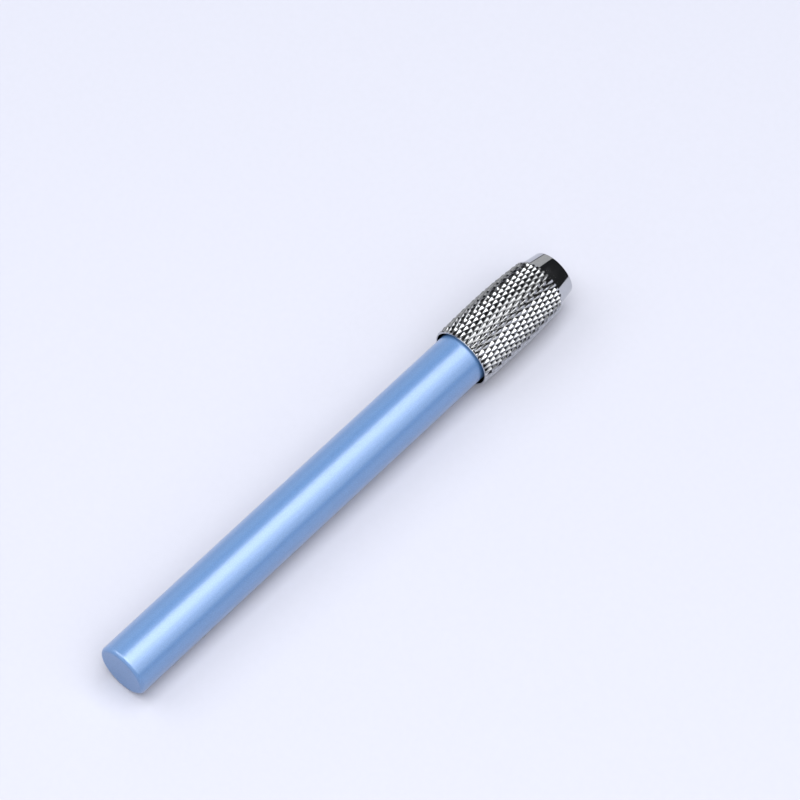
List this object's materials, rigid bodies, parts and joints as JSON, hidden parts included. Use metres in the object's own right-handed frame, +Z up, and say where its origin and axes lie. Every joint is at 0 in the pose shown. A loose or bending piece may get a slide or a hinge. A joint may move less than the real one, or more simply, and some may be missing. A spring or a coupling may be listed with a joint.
{
  "type": "pencil extender",
  "caption": "Slim closed metal tube with a knurled screw-down collet nut and a smooth tapered nose, for holding a short pencil.",
  "frame": {"origin": "centre of the footprint, on the surface the object lies on, level with the nut's lowest knurl crests", "axes": "+X along the tube toward the mouth, +Z up"},
  "size_m": [0.1092, 0.0122, 0.0123],
  "materials": {
    "painted_tube": "satin metallic blue",
    "collet": "turned",
    "bright_nose": "polished",
    "bright_knurl": "polished diamond knurl"
  },
  "bodies": {
    "barrel": {"barrel_tube": "painted_tube", "collet_base": "collet"},
    "nose": {"nose_cone": "bright_nose"},
    "nut": {"knurled_nut": "bright_knurl"},
    "jaw_top": {"jaw_top": "collet"},
    "jaw_right": {"jaw_right": "collet"},
    "jaw_bottom": {"jaw_bottom": "collet"},
    "jaw_left": {"jaw_left": "collet"}
  },
  "joints": [
    {"name": "nut_travel", "type": "slide", "parent": "barrel", "child": "nose", "axis": [-1, 0, 0], "range_m": [-0.002, 0.001]},
    {"name": "nut_turn", "type": "hinge", "parent": "nose", "child": "nut", "pos_m": [0.043, 0, 0.00615], "axis": [-1, 0, 0], "range_deg": [-720, 360]},
    {"name": "jaw_top_flex", "type": "hinge", "parent": "barrel", "child": "jaw_top", "pos_m": [0.0425, 0, 0.0103], "axis": [0, 1, 0], "range_deg": [-1.95, 1]},
    {"name": "jaw_right_flex", "type": "hinge", "parent": "barrel", "child": "jaw_right", "pos_m": [0.0425, -0.00415, 0.00615], "axis": [0, 0, 1], "range_deg": [-1.95, 1]},
    {"name": "jaw_bottom_flex", "type": "hinge", "parent": "barrel", "child": "jaw_bottom", "pos_m": [0.0425, 0, 0.002], "axis": [0, -1, 0], "range_deg": [-1.95, 1]},
    {"name": "jaw_left_flex", "type": "hinge", "parent": "barrel", "child": "jaw_left", "pos_m": [0.0425, 0.00415, 0.00615], "axis": [0, 0, -1], "range_deg": [-1.95, 1]}
  ],
  "couplings": [
    {"joint": "nut_turn", "follows": "nut_travel", "rad_per_m": 6283.2},
    {"joint": "jaw_top_flex", "follows": "nut_travel", "rad_per_m": 16.668},
    {"joint": "jaw_right_flex", "follows": "nut_travel", "rad_per_m": 16.668},
    {"joint": "jaw_bottom_flex", "follows": "nut_travel", "rad_per_m": 16.668},
    {"joint": "jaw_left_flex", "follows": "nut_travel", "rad_per_m": 16.668}
  ]
}
